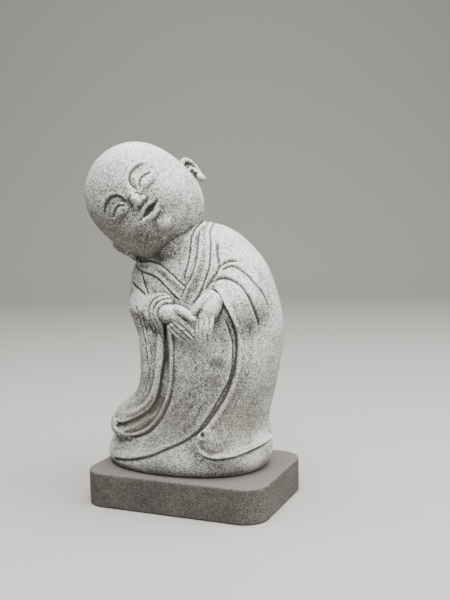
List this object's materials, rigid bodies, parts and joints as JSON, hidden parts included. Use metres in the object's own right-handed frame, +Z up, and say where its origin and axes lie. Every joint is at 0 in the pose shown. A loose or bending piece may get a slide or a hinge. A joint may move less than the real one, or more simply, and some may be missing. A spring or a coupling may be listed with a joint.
{
  "type": "monk statue",
  "caption": "Small cast stone garden statue of a smiling child monk with tilted head, hands meeting in front and long hanging sleeves, standing on a low plinth with round corners.",
  "frame": {"origin": "middle of the plinth's underside", "axes": "+Z up, -Y towards the front of the plinth that the figure faces, +X to the right of someone looking at its front"},
  "size_m": [0.24, 0.1864, 0.4517],
  "materials": {
    "brushed_cast_stone": "rough cast stone, dark grey with worn light grey high spots, fine pits and dark recesses",
    "dark_cast_stone": "smoother dark brown-grey cast stone with faint lighter scuffs on its edges"
  },
  "bodies": {
    "root": {"monk": "brushed_cast_stone", "plinth": "dark_cast_stone"}
  },
  "joints": []
}
